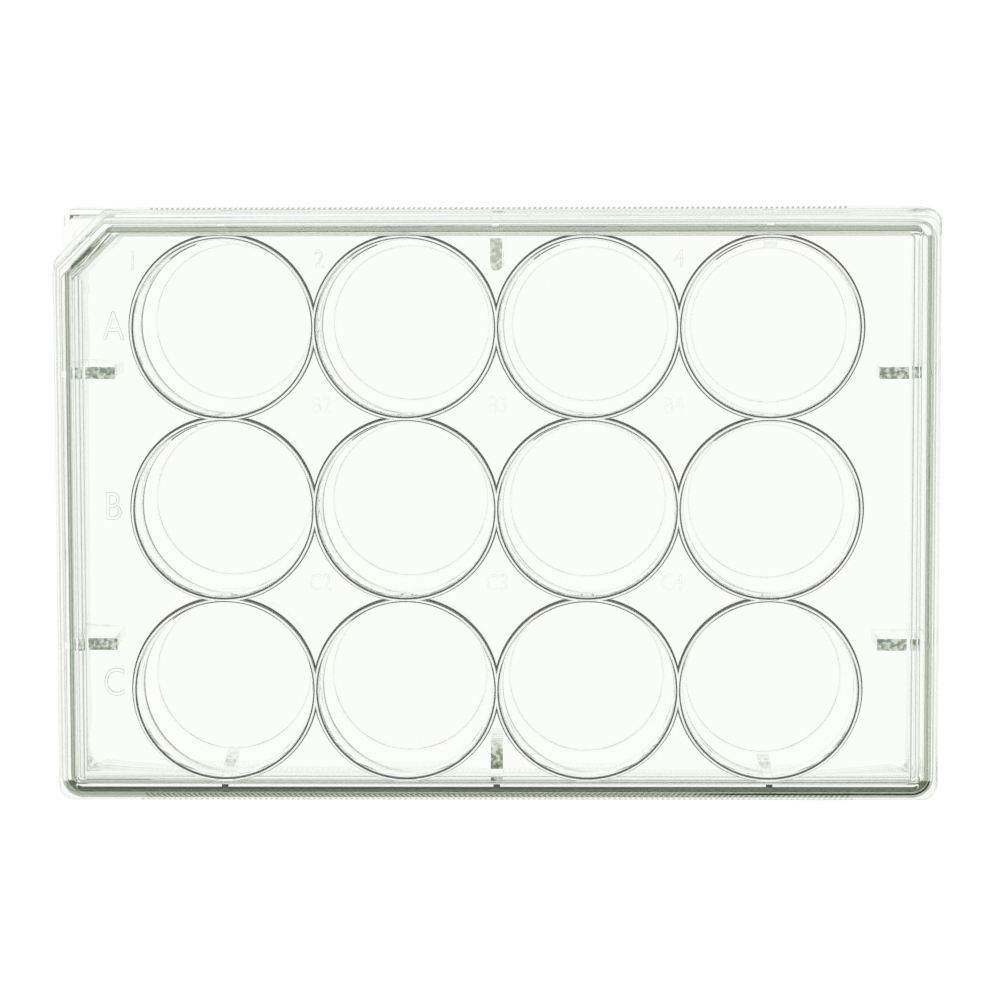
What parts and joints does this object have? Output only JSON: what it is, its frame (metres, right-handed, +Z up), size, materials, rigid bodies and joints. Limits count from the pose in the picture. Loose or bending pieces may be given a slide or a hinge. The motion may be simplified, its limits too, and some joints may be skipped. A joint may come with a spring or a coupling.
{
  "type": "well plate",
  "caption": "Clear culture plate with flat-bottomed round wells in a grid, a skirted base and a loose clear lid with one bevelled corner.",
  "frame": {"origin": "centre of the footprint, on the surface the plate stands on", "axes": "+X along the length from column 1 to column 4, +Y across towards row A, +Z up"},
  "size_m": [0.1278, 0.0854, 0.0228],
  "materials": {
    "clear_plate": "clear colourless polystyrene, polished, with a faint green cast on edge",
    "clear_lid": "clear colourless polystyrene, polished"
  },
  "bodies": {
    "root": {"plate": "clear_plate", "lid": "clear_lid"}
  },
  "joints": []
}
